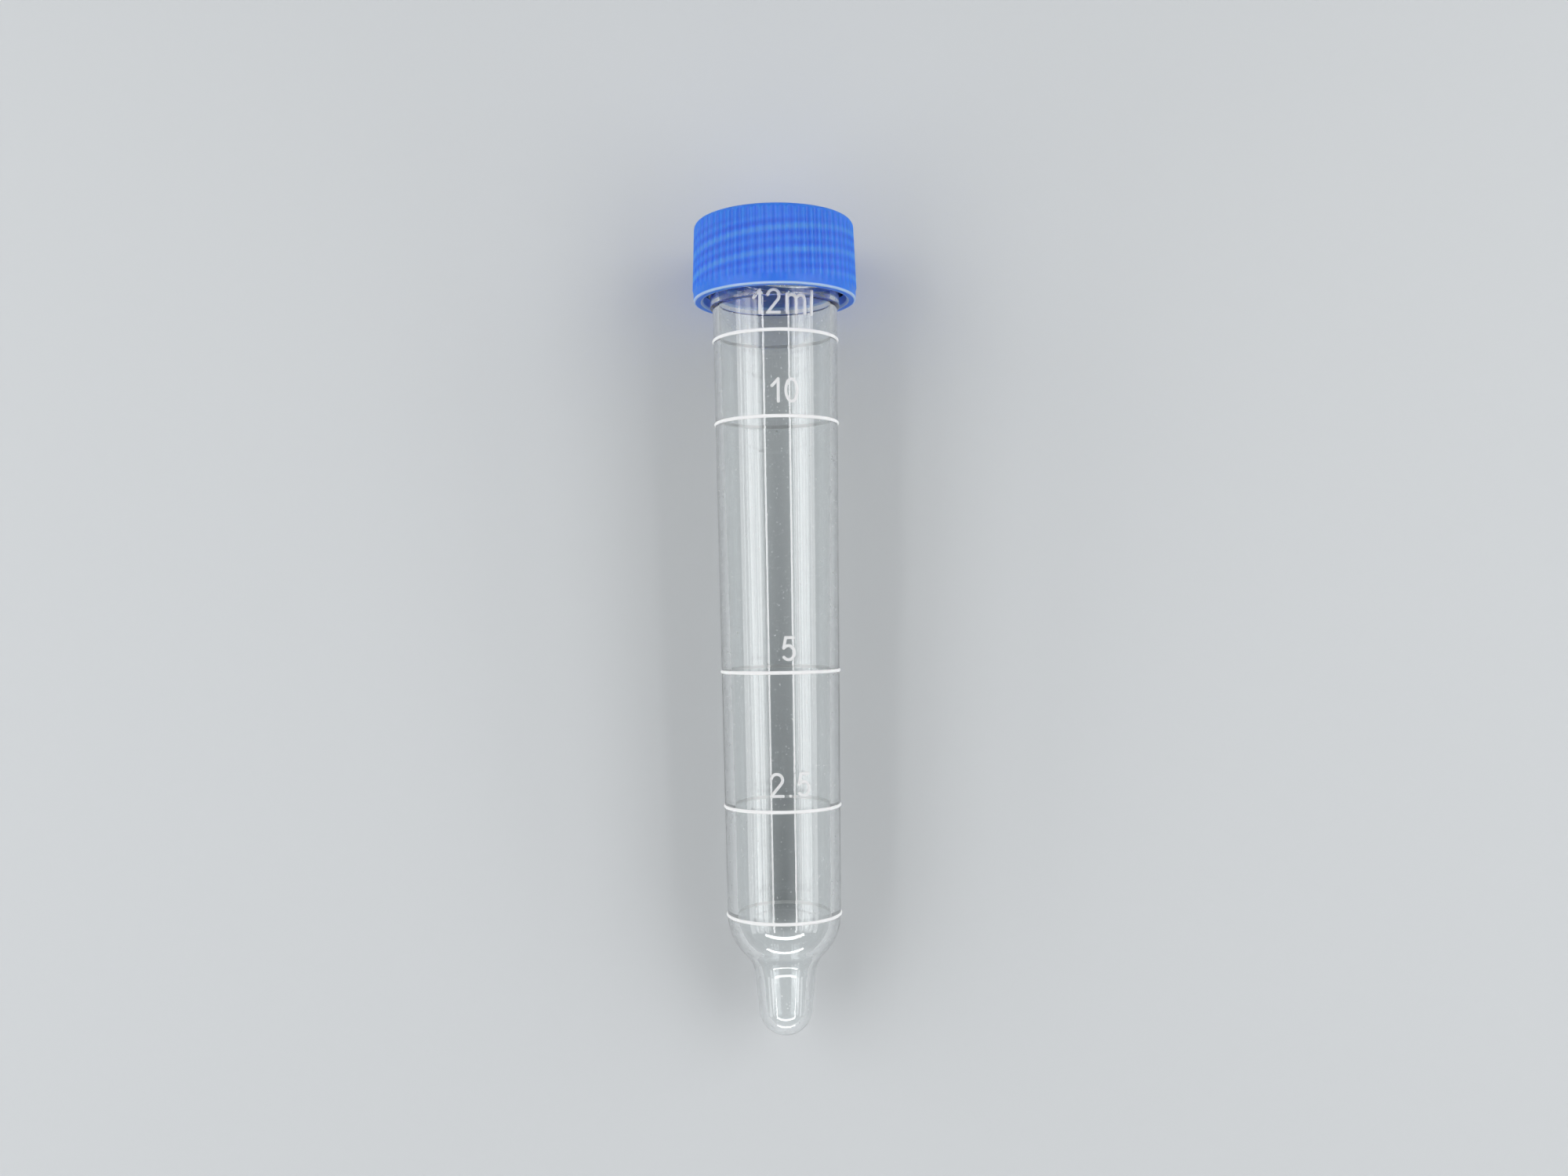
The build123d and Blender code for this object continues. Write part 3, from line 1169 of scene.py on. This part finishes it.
def set_camera(stage):
    """A camera over the tube, which faces its upper side."""
    scene = bpy.context.scene
    tip_end, upwards, sideways, along = tube_place()
    data = bpy.data.cameras.new("camera")
    data.sensor_width = SENSOR_WIDTH
    data.lens = stage.lens
    data.shift_x = stage.shift_x
    data.shift_y = stage.shift_y
    data.clip_start = NEAREST_SEEN
    camera = bpy.data.objects.new("camera", data)
    scene.collection.objects.link(camera)
    up = along * cos(stage.lean) + sideways * sin(stage.lean)
    place = tip_end + along * stage.camera_height + upwards * stage.camera_distance
    camera.matrix_world = placed(place, up.cross(upwards), up, upwards)
    scene.camera = camera


class TUBE_OT_set_stage(bpy.types.Operator):
    """Set the bench, the soft lamps, the room's light and the camera"""

    bl_idname = "tube.set_stage"
    bl_label = "Set stage"

    def execute(self, context):
        scene = context.scene
        stage, finishes = scene.stage_sizes, scene.finishes
        deselect_all()
        bpy.ops.mesh.primitive_plane_add(size=stage.floor_size, location=(0, 0, 0))
        floor = context.object
        floor.name = "bench"
        floor.data.materials.append(matt_paint(finishes, stage))
        for name, lean, width, brightness in SIDE_LAMPS:
            direction = (0, sin(radians(lean)), cos(radians(lean)))
            size = (stage.lamp_length, width)
            lamp(name, direction, Vector((1, 0, 0)), size, brightness, stage)
        for name, lean, size, brightness in FOOT_LAMPS:
            direction = (-sin(radians(lean)), 0, cos(radians(lean)))
            lamp(name, direction, Vector((0, 1, 0)), size, brightness, stage)
        light_room(finishes, stage)
        set_camera(stage)
        scene.view_settings.view_transform = "Standard"
        return {"FINISHED"}


# The add-on


class TUBE_PT_panel(bpy.types.Panel):
    """Buttons that model the tube, its cap and the stage"""

    bl_idname = "TUBE_PT_panel"
    bl_label = "Laboratory tube"
    bl_space_type = "VIEW_3D"
    bl_region_type = "UI"
    bl_category = "Tube"

    def draw(self, context):
        for operator in OPERATORS:
            self.layout.operator(operator.bl_idname)


GROUPS = {
    "tube_sizes": TubeSizes,
    "cap_sizes": CapSizes,
    "thread_sizes": ThreadSizes,
    "figure_sizes": FigureSizes,
    "finishes": Finishes,
    "stage_sizes": StageSizes,
}
OPERATORS = (TUBE_OT_mould_tube, TUBE_OT_mould_cap, TUBE_OT_set_stage)
CLASSES = (*GROUPS.values(), *OPERATORS, TUBE_PT_panel)


def register():
    """Register the classes and hang the sizes on the scene."""
    for each in CLASSES:
        bpy.utils.register_class(each)
    for name, group in GROUPS.items():
        setattr(bpy.types.Scene, name, PointerProperty(type=group))


def unregister():
    """Undo register."""
    for name in GROUPS:
        delattr(bpy.types.Scene, name)
    for each in reversed(CLASSES):
        bpy.utils.unregister_class(each)


def main():
    """Build everything in order."""
    register()
    bpy.ops.tube.mould_tube()
    bpy.ops.tube.mould_cap()
    bpy.ops.tube.set_stage()


if __name__ == "__main__":
    main()
